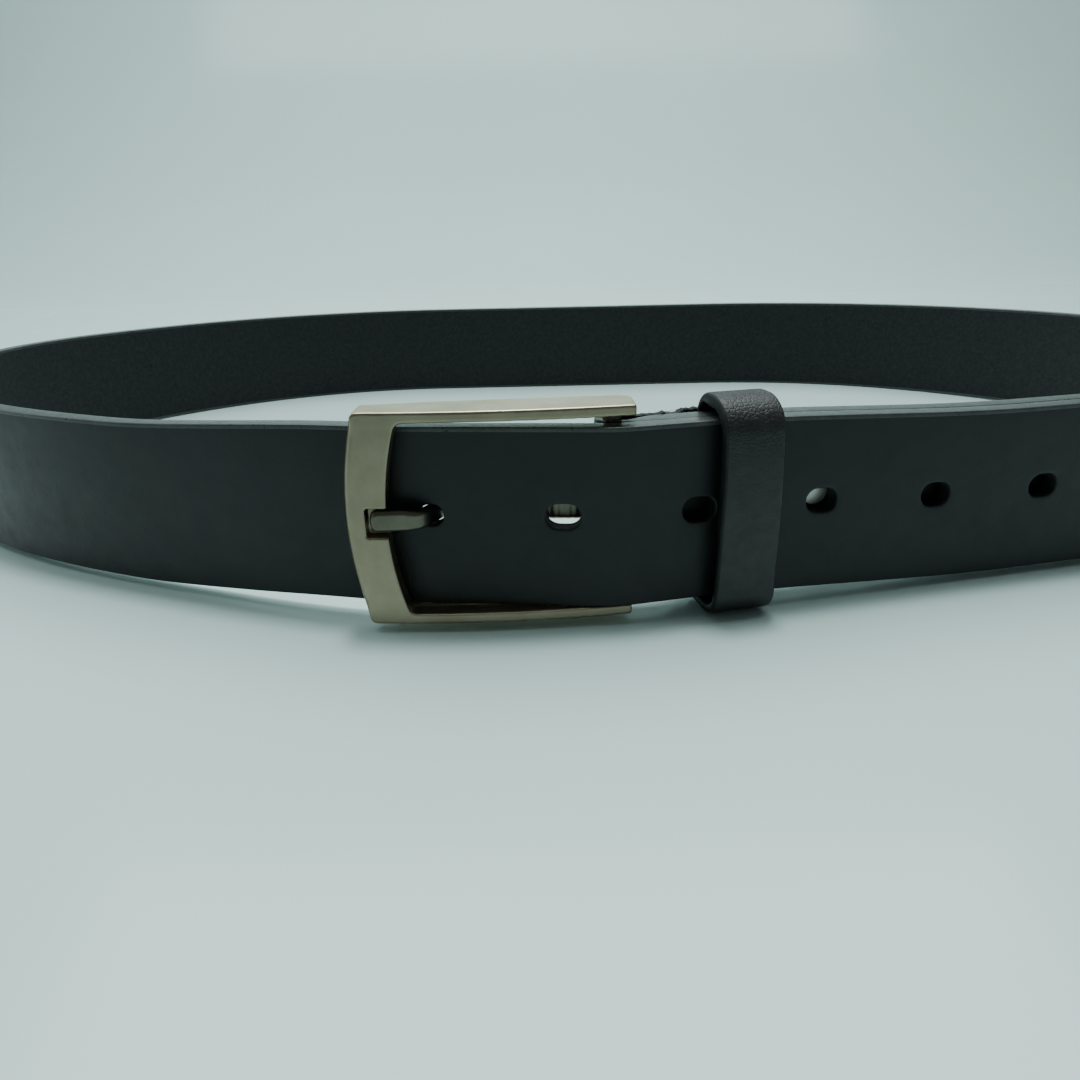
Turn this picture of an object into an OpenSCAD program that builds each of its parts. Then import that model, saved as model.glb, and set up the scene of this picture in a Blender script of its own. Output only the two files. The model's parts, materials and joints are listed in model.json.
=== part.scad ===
// A single-layer leather dress belt, buckled into its waist loop and standing on its lower edge.
// The layout origin is the axis of the buckle's pin bar at floor level: +X runs to the right along
// the front, +Y goes in towards the wearer and +Z is up. placed() then centres the box.

/* [Strap] */
// Width of the strap, which is its height as it stands
strap_w = 35; // [30:0.5:38]
// Thickness of the leather
strap_t = 3.8; // [3.4:0.1:4]
// How far the buckle holds the strap off the floor
strap_lift = 2.3; // [2.2:0.1:3]
// Distance between the centres of two holes
hole_pitch = 25.4; // [24:0.1:26]
// Number of holes
hole_count = 7; // [5:1:8]
// Length of an oval hole, along the strap
hole_len = 6.6; // [6.5:0.1:7.4]
// Height of an oval hole
hole_h = 4.9; // [4.8:0.1:5.4]
// Leather left between the last hole and the end of the tip
tip_reach = 84; // [60:1:110]
// Length of the rounding at the tip
tip_round = 22; // [10:1:30]

/* [Loop] */
// Turn of the overlapped front away from the buckle's own front
lap_heading = 12.5; // [11:0.5:14]
// Radius of the right end beside the overlap
right_r = 91; // [85:1:95]
// Radius of the right end as it runs into the back
right_back_r = 152; // [145:1:160]
// Radius of the left end as it leaves the back
left_back_r = 149; // [140:1:155]
// Radius of the tightest part of the left end
left_r = 70; // [65:1:75]
// Radius of the front between the left end and the buckle
front_r = 246; // [240:1:252]

/* [Buckle] */
// Outer height of the frame
frame_h = 41; // [41:0.5:44]
// Height of each of the two arms
arm_h = 2; // [1.8:0.1:2]
// Distance from the pin bar's axis to the outer edge of the end bar
frame_reach = 49.4; // [49:0.1:50]
// Width of the end bar at its middle
end_bar_w = 7.8; // [7.4:0.1:8]
// Diameter of the pin bar
pin_d = 3.5; // [3:0.1:3.5]
// Width of the prong at its tip
prong_w = 4.2; // [4:0.1:4.6]
// Width of the prong where it passes through the strap
prong_neck_w = 3.6; // [3.2:0.1:3.6]
// Thickness of the prong's shank
prong_t = 2; // [1.8:0.1:2]

/* [Keeper] */
// Width of the keeper, along the strap
keeper_w = 12; // [10:0.5:12]
// Thickness of the keeper's leather
keeper_t = 1.8; // [1.6:0.1:1.8]
// Outer height of the keeper
keeper_h = 41.4; // [41:0.1:42]
// Distance along the overlap from the pin bar to the keeper's middle
keeper_at = 23.2; // [23:0.1:24]

/* [Fold] */
// Thickness of the strap where it is skived for the fold
skive_t = 1.65; // [1.4:0.05:1.65]
// Distance along the overlap from the pin bar to the end of the turned-back flap
flap_len = 53; // [50:1:60]
// Distance along the overlap from the pin bar to the first rivet
rivet_1_at = 9.4; // [9.2:0.1:9.6]
// Distance along the overlap from the pin bar to the second rivet
rivet_2_at = 41; // [40:0.1:44]
// Radius of a rivet's head
rivet_r = 2.75; // [2.5:0.05:3]

/* [Hidden] */
$fn = 64;

leather = "#1c1c1f";
keeper_leather = "#232326";
nickel = "#c9c4ba";
steel = "#a9abb0";

// Gaps: between two layers of leather, round a turning pin, and between a piece and its slot
layer_gap = 0.2;
pin_gap = 0.05;
slot_gap = 0.3;
over = 1;

// The holes and rivets stand a little above the strap's middle, level with the prong
mid_z = frame_h / 2;
hole_level = mid_z - strap_lift;

// Levels across the overlap, measured inwards from the pin bar's axis
eye_r = pin_d / 2 + pin_gap;
inner_face = -(eye_r + skive_t);
inner_mid = inner_face + strap_t / 2;
inner_back = inner_face + strap_t;
outer_back = inner_face - layer_gap;
outer_mid = outer_back - strap_t / 2;
outer_face = outer_back - strap_t;

// Stretches of the strap's middle line are [length, turn in degrees]
function bend(r, turn) = [r * turn * PI / 180, turn];
window_heading = -5.7;
front_heading = -12.7;
left_heading = -47.5;
right_turn = 133;
left_turn = 236;
window_len = 34;
frame_bend_r = 80;
pin_bend_r = 14;
pin_bend_end = 1.5;

function loop(inner_len, back_len) = [
    [inner_len, 0],
    bend(right_r, right_turn - lap_heading),
    bend(right_back_r, 180 - right_turn),
    [back_len, 0],
    bend(left_back_r, left_turn - 180),
    bend(left_r, 360 + left_heading - left_turn),
    bend(front_r, front_heading - left_heading),
    bend(frame_bend_r, window_heading - front_heading),
    [window_len, 0],
    bend(pin_bend_r, lap_heading - window_heading)
];

// A place on the line is [x, y, heading]
function on_lap(x, y) = [
    x * cos(lap_heading) - y * sin(lap_heading),
    x * sin(lap_heading) + y * cos(lap_heading),
    lap_heading
];
function step(p, len, turn) = turn == 0
    ? [p.x + len * cos(p.z), p.y + len * sin(p.z), p.z]
    : let (r = len * 180 / (PI * turn))
        [p.x + r * (sin(p.z + turn) - sin(p.z)), p.y - r * (cos(p.z + turn) - cos(p.z)), p.z + turn];
function finish(p, path, i = 0) =
    i == len(path) ? p : finish(step(p, path[i][0], path[i][1]), path, i + 1);
function total(path, i = 0) = i == len(path) ? 0 : path[i][0] + total(path, i + 1);

// The two straights take the lengths that bring the loop back over its own start
start = on_lap(0, inner_mid);
closing = on_lap(pin_bend_end, outer_mid);
bare = finish(start, loop(0, 0));
inner_len = (closing.y - bare.y) / sin(lap_heading);
back_len = bare.x - closing.x + inner_len * cos(lap_heading);
body_path = loop(inner_len, back_len);

// Distances along the strap are measured from the pin bar, backwards round the loop and
// forwards along the free end, which follows the inner layer at its own larger radius
flex_at = 48;
first_hole = -35.9;
strap_len = total(body_path) - pin_bend_end;
end_r = right_r + strap_t + layer_gap;
tip_at = first_hole + hole_pitch * (hole_count - 1) + tip_reach;
tip_turn = (tip_at - inner_len) / end_r * 180 / PI;
free_path = [[inner_len - pin_bend_end, 0], bend(end_r, tip_turn)];

// Rings of a path as [place, distance], at most five degrees or fourteen millimetres apart
ring_turn = 5;
ring_len = 14;
flat_step = 6;
function rings_in(path, i) = ceil(max(abs(path[i][1]) / ring_turn, path[i][0] / ring_len));
function trace(p, path, s, i = 0) = i == len(path)
    ? [[p, s]]
    : let (n = rings_in(path, i), l = path[i][0], turn = path[i][1])
        concat(
            [for (k = [0 : n - 1]) [step(p, l * k / n, turn * k / n), s + l * k / n]],
            trace(step(p, l, turn), path, s + l, i + 1)
        );
function place_at(p, path, s, i = 0) = s <= path[i][0] || i == len(path) - 1
    ? step(p, s, path[i][1] * s / path[i][0])
    : place_at(step(p, path[i][0], path[i][1]), path, s - path[i][0], i + 1);

// The buckle lifts the strap's front; on the inner layer the same rule runs from its start
function ease(t) = let (c = min(1, max(0, t))) c * c * (3 - 2 * c);
lift_left = [-108, -50];
lift_right = [15, 85];
function lift(s) = strap_lift
    * ease((s - lift_left[0]) / (lift_left[1] - lift_left[0]))
    * (1 - ease((s - lift_right[0]) / (lift_right[1] - lift_right[0])));

// The buckle's end of the strap is straight and level as far as here, and is drawn in section
straight_end = 43;
// The ribbon's first ring is a hair smaller and starts inside that section, so no edges coincide
tuck = 0.01;
body_rings = concat(
    [[on_lap(straight_end - over, inner_mid), straight_end - over - strap_len]],
    [for (r = trace(start, body_path, -strap_len)) if (r[1] > straight_end + over - strap_len) r],
    [for (s = [pin_bend_end + flat_step : flat_step : flex_at - over]) [on_lap(s, outer_mid), s]],
    [[on_lap(flex_at, outer_mid), flex_at]]
);
function lift_of(s) = s + strap_len < lift_right[1] ? lift(s + strap_len) : lift(s);

tip_steps = 10;
tip_blunt = 0.985;
function tip_half(s) = s < tip_at - tip_round
    ? strap_w / 2
    : strap_w / 2 * sqrt(1 - pow((s - tip_at + tip_round) / tip_round, 2));
free_start = flex_at + slot_gap;
free_rings = concat(
    [[on_lap(free_start, outer_mid), free_start]],
    [for (r = trace(closing, free_path, pin_bend_end))
        if (r[1] > free_start + 1 && r[1] < tip_at - tip_round - 1) r],
    [for (k = [0 : tip_steps])
        let (s = tip_at - tip_round + tip_round * tip_blunt * sin(90 * k / tip_steps))
            [place_at(closing, free_path, s - pin_bend_end), s]]
);

// Four corners of a ring: outer face then back, bottom then top
function corner(p, y, z) = [p.x - y * sin(p.z), p.y + y * cos(p.z), z];
function ring_points(p, low, high, half_t = strap_t / 2) = [
    corner(p, -half_t, low), corner(p, half_t, low),
    corner(p, half_t, high), corner(p, -half_t, high)
];
function ribbon_faces(n) = concat(
    [[0, 1, 2, 3]],
    [for (i = [0 : n - 2], k = [0 : 3])
        let (a = 4 * i + k, b = 4 * i + (k + 1) % 4)
            each [[a, a + 4, b + 4], [a, b + 4, b]]],
    [[for (k = [3 : -1 : 0]) 4 * (n - 1) + k]]
);
module ribbon(sections) {
    polyhedron([for (r = sections) each r], ribbon_faces(len(sections)), convexity = 8);
}

// The box round everything, which places the part on its own centre
body_corners = [for (r = body_rings) each ring_points(r[0], 0, strap_w)];
bow_r = 210;
bow_at = -29;
bow_front = -8.5;
x_mid = (min([for (c = body_corners) c.x]) + max([for (c = body_corners) c.x])) / 2;
y_mid = (bow_front + max([for (c = body_corners) c.y])) / 2;

module placed() {
    translate([-x_mid, -y_mid, 0]) children();
}
module lap(x = 0, y = 0, z = 0) {
    rotate([0, 0, lap_heading]) translate([x, y, z]) children();
}
// A place on the free side of the strap, counted from the pin bar
function free_place(s) = s < pin_bend_end
    ? place_at(start, body_path, s + strap_len)
    : place_at(closing, free_path, s - pin_bend_end);

module oval_hole(s) {
    p = free_place(s);
    flat = hole_len - hole_h;
    translate([p.x, p.y, lift(s) + hole_level]) rotate([90, 0, p.z]) {
        for (side = [-1, 1]) {
            translate([side * flat / 2, 0, 0])
                cylinder(d = hole_h, h = strap_t + layer_gap, center = true);
        }
        cube([flat, hole_h, strap_t + layer_gap], center = true);
    }
}
holes = [for (k = [0 : hole_count - 1]) first_hole + k * hole_pitch];

// Turned-back flap: the middle of its thickness stands at these levels along the overlap
flap_gap = 0.15;
flap_low = inner_back + flap_gap + skive_t / 2;
keeper_back = inner_back + slot_gap;
staple_d = 0.6;
flap_high = keeper_back + keeper_t + staple_d + slot_gap + skive_t / 2;
flap_dip = 6;
cap_margin = 0.1;
bulge_margin = [1, 1.8];
bulge_rise = [rivet_1_at + rivet_r + cap_margin, keeper_at - keeper_w / 2 - bulge_margin[0]];
bulge_fall = [keeper_at + keeper_w / 2 + bulge_margin[1], rivet_2_at - rivet_r - cap_margin];
fold_mid = eye_r + skive_t / 2;
function flap_y(x) = x < flap_dip
    ? fold_mid + (flap_low - fold_mid) * ease(x / flap_dip)
    : flap_low + (flap_high - flap_low)
        * ease((x - bulge_rise[0]) / (bulge_rise[1] - bulge_rise[0]))
        * (1 - ease((x - bulge_fall[0]) / (bulge_fall[1] - bulge_fall[0])));

// The buckle's end in section: the inner layer, skived towards the pin bar, the fold round the
// bar and the flap turned back behind the layer. Both layers start just inside the bar's bore.
skive_run = [2, 7.5];
bore_bite = 0.08;
fold_r = eye_r + skive_t;
flap_half = skive_t / 2;
function layer_back(x) = inner_face + skive_t - bore_bite
    + (strap_t - skive_t + bore_bite) * ease((x - skive_run[0]) / (skive_run[1] - skive_run[0]));
module buckle_end() {
    xs = concat([for (x = [0 : 1 : flap_len - 1]) x], [flap_len]);
    last = len(xs) - 1;
    difference() {
        polygon(concat(
            [[straight_end, inner_back], [straight_end, inner_face]],
            [for (a = [270 : -10 : 90]) [fold_r * cos(a), fold_r * sin(a)]],
            [for (k = [1 : last]) [xs[k], flap_y(xs[k]) + flap_half]],
            [for (k = [last : -1 : 1]) [xs[k], flap_y(xs[k]) - flap_half]],
            [[0, eye_r - bore_bite]],
            [for (x = [0, for (x = [skive_run[0] : 0.5 : skive_run[1]]) x]) [x, layer_back(x)]]
        ));
        circle(r = eye_r);
    }
}

// Room in the fold for the prong's eye
slot_h = 6;
slot_run = [-5, 4.2];
module eye_slot() {
    lap(slot_run[0], inner_face - layer_gap / 2, mid_z - slot_h / 2)
        cube([slot_run[1] - slot_run[0], 2 * strap_t + over, slot_h]);
}
rivet_post_r = 1.4;
module rivet_hole(x) {
    lap(x, 0, mid_z) rotate([-90, 0, 0]) {
        translate([0, 0, inner_face - layer_gap / 2]) {
            cylinder(r = rivet_post_r, h = 2 * strap_t);
            cylinder(r = rivet_r, h = rivet_head_t + layer_gap / 2);
        }
    }
}

module strap() {
    color(leather) placed() difference() {
        union() {
            ribbon([for (i = [0 : len(body_rings) - 1])
                let (r = body_rings[i], low = lift_of(r[1]), inset = i == 0 ? tuck : 0)
                    ring_points(r[0], low + inset, low + strap_w - inset, strap_t / 2 - inset)]);
            lap(0, 0, strap_lift) linear_extrude(strap_w) buckle_end();
        }
        eye_slot();
        for (x = [rivet_1_at, rivet_2_at]) rivet_hole(x);
        for (s = holes) if (s < flex_at) oval_hole(s);
    }
}

// The free end bends outwards where it leaves the keeper, so it is a piece of its own there
module strap_free_end() {
    color(leather) placed() difference() {
        ribbon([for (r = free_rings)
            let (middle = lift(r[1]) + strap_w / 2, half = tip_half(r[1]))
                ring_points(r[0], middle - half, middle + half)]);
        for (s = holes) if (s > flex_at) oval_hole(s);
    }
}

arm_reach = 3.7;
outer_bulge_r = 70;
inner_bulge_r = 60;

// The frame from the front: two arms joined by an end bar that bulges outwards
module frame_front() {
    window_x = end_bar_w - frame_reach;
    reach = frame_reach + arm_reach;
    difference() {
        intersection() {
            translate([outer_bulge_r - frame_reach, mid_z]) circle(r = outer_bulge_r, $fn = 200);
            translate([-frame_reach - over, 0]) square([reach + 2 * over, frame_h]);
        }
        intersection() {
            translate([window_x + inner_bulge_r, mid_z]) circle(r = inner_bulge_r, $fn = 200);
            translate([window_x - over, arm_h]) square([reach + 2 * over, frame_h - 2 * arm_h]);
        }
    }
}

// The frame from above: bowed front, and arms that deepen towards the pin bar
arm_back = [-1.3, 0.6, 2.8];
arm_shoulder = [-47, -31.8];
arm_round = 3;
module frame_top() {
    round_x = arm_reach - arm_round;
    intersection() {
        translate([bow_at, bow_front + bow_r]) circle(r = bow_r, $fn = 400);
        union() {
            polygon([
                [-frame_reach - over, bow_front - over], [-frame_reach - over, arm_back[0]],
                [arm_shoulder[0], arm_back[0]], [arm_shoulder[1], arm_back[1]],
                [round_x, arm_back[2]], [arm_reach, arm_back[2] - arm_round],
                [arm_reach, bow_front - over]
            ]);
            translate([round_x, arm_back[2] - arm_round]) circle(r = arm_round);
        }
    }
}
end_bar_back = -4.1;
notch_back = -5.35;
notch_h = 5.6;
notch_end = -45.6;
notch_len = 6;

module buckle_frame() {
    color(nickel) placed() difference() {
        intersection() {
            translate([0, arm_back[2] + over, 0]) rotate([90, 0, 0])
                linear_extrude(arm_back[2] - bow_front + 2 * over) frame_front();
            translate([0, 0, -over]) linear_extrude(frame_h + 2 * over) frame_top();
        }
        // The strap passes behind the end bar, between the arms
        translate([-frame_reach - over, end_bar_back, arm_h])
            cube([frame_reach + arm_reach + 2 * over, 2 * strap_t, frame_h - 2 * arm_h]);
        // Seat of the prong's tip
        translate([notch_end, bow_front - over, mid_z - notch_h / 2])
            cube([notch_len, notch_back - bow_front + over, notch_h]);
        translate([0, 0, -over]) cylinder(d = pin_d, h = frame_h + 2 * over);
    }
}

pin_inset = 0.2;
module pin_bar() {
    color(nickel) placed() translate([0, 0, pin_inset]) cylinder(d = pin_d, h = frame_h - 2 * pin_inset);
}

// The prong from above: an eye, a shank behind the strap, a ramp through the hole and the tip
module limb(a, b, t) {
    translate(a) rotate(atan2(b.y - a.y, b.x - a.x)) translate([0, -t / 2]) square([norm(b - a), t]);
    for (p = [a, b]) translate(p) circle(d = t);
}
eye_outer_r = 3.4;
ramp_slope = 78;
ramp_shift = 0.9;
tip_t = 2.6;
tip_y = -6.85;
tip_x = -45.2;
shank_y = eye_outer_r - prong_t / 2;
shank_start = [0, -0.8];
crossing = free_place(first_hole);
function ramp_x(y) = crossing.x + ramp_shift + (y - crossing.y) / tan(ramp_slope);
ramp_start = [ramp_x(shank_y), shank_y];
ramp_end = [ramp_x(tip_y), tip_y];

module prong_top() {
    difference() {
        union() {
            circle(r = eye_outer_r);
            limb(shank_start, ramp_start, prong_t);
            limb(ramp_start, ramp_end, prong_t);
            limb(ramp_end, [tip_x + tip_t / 2, tip_y], tip_t);
        }
        circle(r = pin_d / 2 + pin_gap);
    }
}
// The prong from the front: a round tip that narrows to the neck
neck_run = [-37, -35.9];
module prong_front() {
    tip_r = prong_w / 2;
    neck_r = prong_neck_w / 2;
    polygon(concat(
        [for (a = [90 : 10 : 270]) [tip_x + tip_r + tip_r * cos(a), tip_r * sin(a)]],
        [[neck_run[0], -tip_r], [neck_run[1], -neck_r], [frame_reach, -neck_r]],
        [[frame_reach, neck_r], [neck_run[1], neck_r], [neck_run[0], tip_r]]
    ));
}
module prong() {
    color(nickel) placed() intersection() {
        translate([0, 0, mid_z - prong_w / 2]) linear_extrude(prong_w) prong_top();
        translate([0, frame_h / 2, mid_z]) rotate([90, 0, 0]) linear_extrude(frame_h) prong_front();
    }
}

// The keeper's band stands round both layers of the overlap; its ends meet at the back
keeper_room = 2.2;
keeper_front = outer_face - keeper_room - keeper_t;
keeper_depth = keeper_back + keeper_t - keeper_front;
joint_gap = 0.2;

// Radii of the band's corners: back bottom, back top, front top and front bottom
keeper_corners = [2.7, 5.3, 6, 4.8];
corner_step = 9;
module rounded(w, h, r) {
    centres = [[w - r[0], r[0]], [w - r[1], h - r[1]], [r[2], h - r[2]], [r[3], r[3]]];
    polygon([for (k = [0 : 3], a = [0 : corner_step : 90])
        let (t = 90 * (k - 1) + a) centres[k] + r[k] * [cos(t), sin(t)]]);
}
module keeper_hoop() {
    difference() {
        rounded(keeper_depth, keeper_h, keeper_corners);
        translate([keeper_t, keeper_t])
            rounded(
                keeper_depth - 2 * keeper_t, keeper_h - 2 * keeper_t,
                [for (r = keeper_corners) r - keeper_t]);
        translate([keeper_depth - keeper_t - over, (keeper_h - joint_gap) / 2])
            square([keeper_t + 2 * over, joint_gap]);
    }
}
staple_span = 8;
staple_at = 3;
staple_leg = 1.6;

module keeper_band() {
    color(keeper_leather) placed() difference() {
        lap(keeper_at - keeper_w / 2, keeper_front) rotate([90, 0, 90])
            linear_extrude(keeper_w) keeper_hoop();
        for (side = [-1, 1]) staple_legs(side);
    }
}
module staple_legs(side) {
    for (z = [-1, 1])
        lap(keeper_at + side * staple_at, keeper_back + keeper_t, keeper_h / 2 + z * staple_span / 2)
            rotate([90, 0, 0]) cylinder(d = staple_d, h = staple_leg);
}
module staple(side) {
    color(steel) placed() {
        staple_legs(side);
        lap(keeper_at + side * staple_at, keeper_back + keeper_t + staple_d / 2, keeper_h / 2) {
            cylinder(d = staple_d, h = staple_span, center = true);
            for (z = [-1, 1]) translate([0, 0, z * staple_span / 2]) {
                sphere(d = staple_d);
                rotate([90, 0, 0]) cylinder(d = staple_d, h = staple_d / 2);
            }
        }
    }
}
module keeper_staple_left() {
    staple(-1);
}
module keeper_staple_right() {
    staple(1);
}

// A rivet's flat head is sunk into the inner layer, and its cap is domed on the flap
rivet_head_t = 0.8;
rivet_cap_t = 1;
cap_grip = 0.5;
cap_base = flap_low + skive_t / 2;
module rivet_post(x) {
    color(nickel) placed() lap(x, inner_face, mid_z) rotate([-90, 0, 0]) {
        cylinder(r = rivet_r, h = rivet_head_t);
        cylinder(r = rivet_post_r, h = cap_base + cap_grip - inner_face);
    }
}
module rivet_cap(x) {
    dome_r = (rivet_r * rivet_r + rivet_cap_t * rivet_cap_t) / (2 * rivet_cap_t);
    color(nickel) placed() lap(x, cap_base, mid_z) rotate([-90, 0, 0]) difference() {
        intersection() {
            cylinder(r = rivet_r, h = rivet_cap_t);
            translate([0, 0, rivet_cap_t - dome_r]) sphere(r = dome_r);
        }
        translate([0, 0, -over]) cylinder(r = rivet_post_r, h = cap_grip + over);
    }
}
module rivet_1_post() {
    rivet_post(rivet_1_at);
}
module rivet_1_cap() {
    rivet_cap(rivet_1_at);
}
module rivet_2_post() {
    rivet_post(rivet_2_at);
}
module rivet_2_cap() {
    rivet_cap(rivet_2_at);
}

strap();
strap_free_end();
buckle_frame();
pin_bar();
prong();
keeper_band();
keeper_staple_left();
keeper_staple_right();
rivet_1_post();
rivet_1_cap();
rivet_2_post();
rivet_2_cap();
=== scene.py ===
"""A black leather dress belt, buckled into its waist loop and standing on its lower edge.

The CAD frame gives the places. The strap, keeper, buckle frame and prong are remade here as
finer meshes; the pin bar, rivets and staples stay as they are and only get their materials.
Shapes are worked out in millimetres from the pin bar's axis, with +X along the front, +Y in
towards the wearer and +Z up, and go into the frame's metres as each mesh is made.
"""

import json
import math

import bmesh
import bpy
import numpy as np
from mathutils import Matrix, Vector


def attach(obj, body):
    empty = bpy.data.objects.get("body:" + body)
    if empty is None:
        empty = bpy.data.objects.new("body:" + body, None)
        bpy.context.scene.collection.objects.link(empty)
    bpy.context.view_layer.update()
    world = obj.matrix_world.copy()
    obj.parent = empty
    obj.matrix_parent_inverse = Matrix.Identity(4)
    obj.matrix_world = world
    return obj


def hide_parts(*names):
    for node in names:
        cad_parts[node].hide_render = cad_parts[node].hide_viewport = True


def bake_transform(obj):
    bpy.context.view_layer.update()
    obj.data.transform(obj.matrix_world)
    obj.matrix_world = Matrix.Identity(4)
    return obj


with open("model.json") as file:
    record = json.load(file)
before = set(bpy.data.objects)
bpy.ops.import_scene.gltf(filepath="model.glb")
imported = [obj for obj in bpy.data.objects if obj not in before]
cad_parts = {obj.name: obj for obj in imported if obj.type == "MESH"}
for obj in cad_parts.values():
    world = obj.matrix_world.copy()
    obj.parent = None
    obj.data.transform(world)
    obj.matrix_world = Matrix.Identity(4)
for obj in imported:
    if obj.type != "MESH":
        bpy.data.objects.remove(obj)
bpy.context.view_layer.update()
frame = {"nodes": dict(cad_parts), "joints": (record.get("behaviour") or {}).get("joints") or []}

MM = 0.001
pin = next(j for j in frame["joints"] if j["name"] == "buckle_hinge")["pos_m"]
ORIGIN = np.array([pin[0], pin[1], 0.0])

# ---------------------------------------------------------------- dimensions, in millimetres
STRAP_W = 35.0
STRAP_T = 3.8
STRAP_LIFT = 2.3
SKIVE_T = 1.65
HOLE_PITCH = 25.4
HOLE_COUNT = 7
HOLE_LEN = 6.6
HOLE_H = 4.9
FIRST_HOLE = -35.9
TIP_REACH = 84.0
TIP_ROUND = 22.0
FLAP_LEN = 53.0
RIVET_2_AT = 41.0
RIVET_R = 2.75
RIVET_HEAD_T = 0.8
FRAME_H = 41.0
ARM_H = 2.0
FRAME_REACH = 49.4
END_BAR_W = 7.8
PIN_R = 1.75
PIN_GAP = 0.05
LAYER_GAP = 0.2
KEEPER_AT = 23.2
KEEPER_W = 12.0
KEEPER_T = 1.8
KEEPER_H = 41.4
KEEPER_GAP = 0.3
KEEPER_ROOM = 2.2
STAPLE_RISE = 0.6

MID_Z = FRAME_H / 2
HOLE_LEVEL = MID_Z - STRAP_LIFT
EYE_R = PIN_R + PIN_GAP
FOLD_R = EYE_R + SKIVE_T
INNER_FACE = -FOLD_R
INNER_MID = INNER_FACE + STRAP_T / 2
INNER_BACK = INNER_FACE + STRAP_T
OUTER_BACK = INNER_FACE - LAYER_GAP
OUTER_MID = OUTER_BACK - STRAP_T / 2
OUTER_FACE = OUTER_BACK - STRAP_T

# ---------------------------------------------------------------- the strap's path
LAP_HEADING = 12.5
WINDOW_HEADING = -5.7
FRONT_HEADING = -12.7
LEFT_HEADING = -47.5
RIGHT_TURN = 133.0
LEFT_TURN = 236.0
RIGHT_R = 91.0
BACK_RIGHT_R = 152.0
BACK_LEFT_R = 149.0
LEFT_R = 70.0
FRONT_R = 246.0
BUCKLE_R = 80.0
BUCKLE_RUN = 34.0
LAP_BEND_R = 14.0
PIN_BEND_END = 1.5
SAMPLE = 0.25


def ease(t):
    t = np.clip(t, 0, 1)
    return t * t * (3 - 2 * t)


def bend(radius, turn):
    return (radius * math.radians(turn), turn)


def loop_path(inner_len, back_len):
    """The strap's middle line as stretches of (length, turn in degrees)."""
    return [
        (inner_len, 0),
        bend(RIGHT_R, RIGHT_TURN - LAP_HEADING),
        bend(BACK_RIGHT_R, 180 - RIGHT_TURN),
        (back_len, 0),
        bend(BACK_LEFT_R, LEFT_TURN - 180),
        bend(LEFT_R, 360 + LEFT_HEADING - LEFT_TURN),
        bend(FRONT_R, FRONT_HEADING - LEFT_HEADING),
        bend(BUCKLE_R, WINDOW_HEADING - FRONT_HEADING),
        (BUCKLE_RUN, 0),
        bend(LAP_BEND_R, LAP_HEADING - WINDOW_HEADING),
    ]


def on_lap(x, y):
    """A place along and across the overlap, as (x, y, heading)."""
    c = math.cos(math.radians(LAP_HEADING))
    s = math.sin(math.radians(LAP_HEADING))
    return (x * c - y * s, x * s + y * c, LAP_HEADING)


def walk(place, length, turn):
    x, y, heading = place
    a = math.radians(heading)
    if turn == 0:
        return (x + length * math.cos(a), y + length * math.sin(a), heading)
    r = length / math.radians(turn)
    b = a + math.radians(turn)
    return (x + r * (math.sin(b) - math.sin(a)), y - r * (math.cos(b) - math.cos(a)), heading + turn)


def trace(place, path):
    """Rows of distance, x, y and heading along a path, every SAMPLE millimetres."""
    rows = []
    done = 0.0
    for length, turn in path:
        count = max(1, math.ceil(length / SAMPLE))
        for k in range(count):
            rows.append((done + length * k / count, *walk(place, length * k / count, turn * k / count)))
        place = walk(place, length, turn)
        done += length
    rows.append((done, *place))
    return np.array(rows)


def closed_loop():
    """The two straights take the lengths that bring the loop back over its own start."""
    start = on_lap(0, INNER_MID)
    closing = on_lap(PIN_BEND_END, OUTER_MID)
    bare = start
    for length, turn in loop_path(0, 0):
        bare = walk(bare, length, turn)
    lap = math.radians(LAP_HEADING)
    inner_len = (closing[1] - bare[1]) / math.sin(lap)
    back_len = bare[0] - closing[0] + inner_len * math.cos(lap)
    return loop_path(inner_len, back_len), inner_len


BODY_PATH, INNER_LEN = closed_loop()
STRAP_LEN = sum(length for length, _ in BODY_PATH) - PIN_BEND_END
TIP_AT = FIRST_HOLE + HOLE_PITCH * (HOLE_COUNT - 1) + TIP_REACH
END_R = RIGHT_R + STRAP_T + LAYER_GAP
TIP_TURN = math.degrees((TIP_AT - INNER_LEN) / END_R)

# The flap lies on the inner layer and rises over the keeper's back and its staples
FLAP_GAP = 0.15
FLAP_LOW = INNER_BACK + FLAP_GAP + SKIVE_T / 2
FLAP_HIGH = INNER_BACK + KEEPER_GAP + KEEPER_T + STAPLE_RISE + KEEPER_GAP + SKIVE_T / 2
FLAP_DIP = 6.0
BULGE_RISE = (RIVET_R + 9.5, KEEPER_AT - KEEPER_W / 2 - 1.0)
BULGE_FALL = (KEEPER_AT + KEEPER_W / 2 + 0.9, RIVET_2_AT - RIVET_R - 1.6)
SKIVE_RUN = (2.0, 7.5)
FOLD_LEN = FOLD_R * math.pi

# Where something starts along the strap from the pin bar, and how long it takes
LIFT_LEFT = (-108.0, 58.0)
LIFT_RIGHT = (15.0, 70.0)
LEFT_BOW = 6.0
LEFT_BOW_OUT = (-78.0, 90.0)
LEFT_BOW_BACK = (-168.0, 78.0)


def flap_y(x):
    """Middle of the turned-back flap's thickness, across the overlap."""
    fold_mid = EYE_R + SKIVE_T / 2
    near = fold_mid + (FLAP_LOW - fold_mid) * ease(x / FLAP_DIP)
    rise = ease((x - BULGE_RISE[0]) / (BULGE_RISE[1] - BULGE_RISE[0]))
    fall = ease((x - BULGE_FALL[0]) / (BULGE_FALL[1] - BULGE_FALL[0]))
    far = FLAP_LOW + (FLAP_HIGH - FLAP_LOW) * rise * (1 - fall)
    return np.where(x < FLAP_DIP, near, far)


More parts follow.
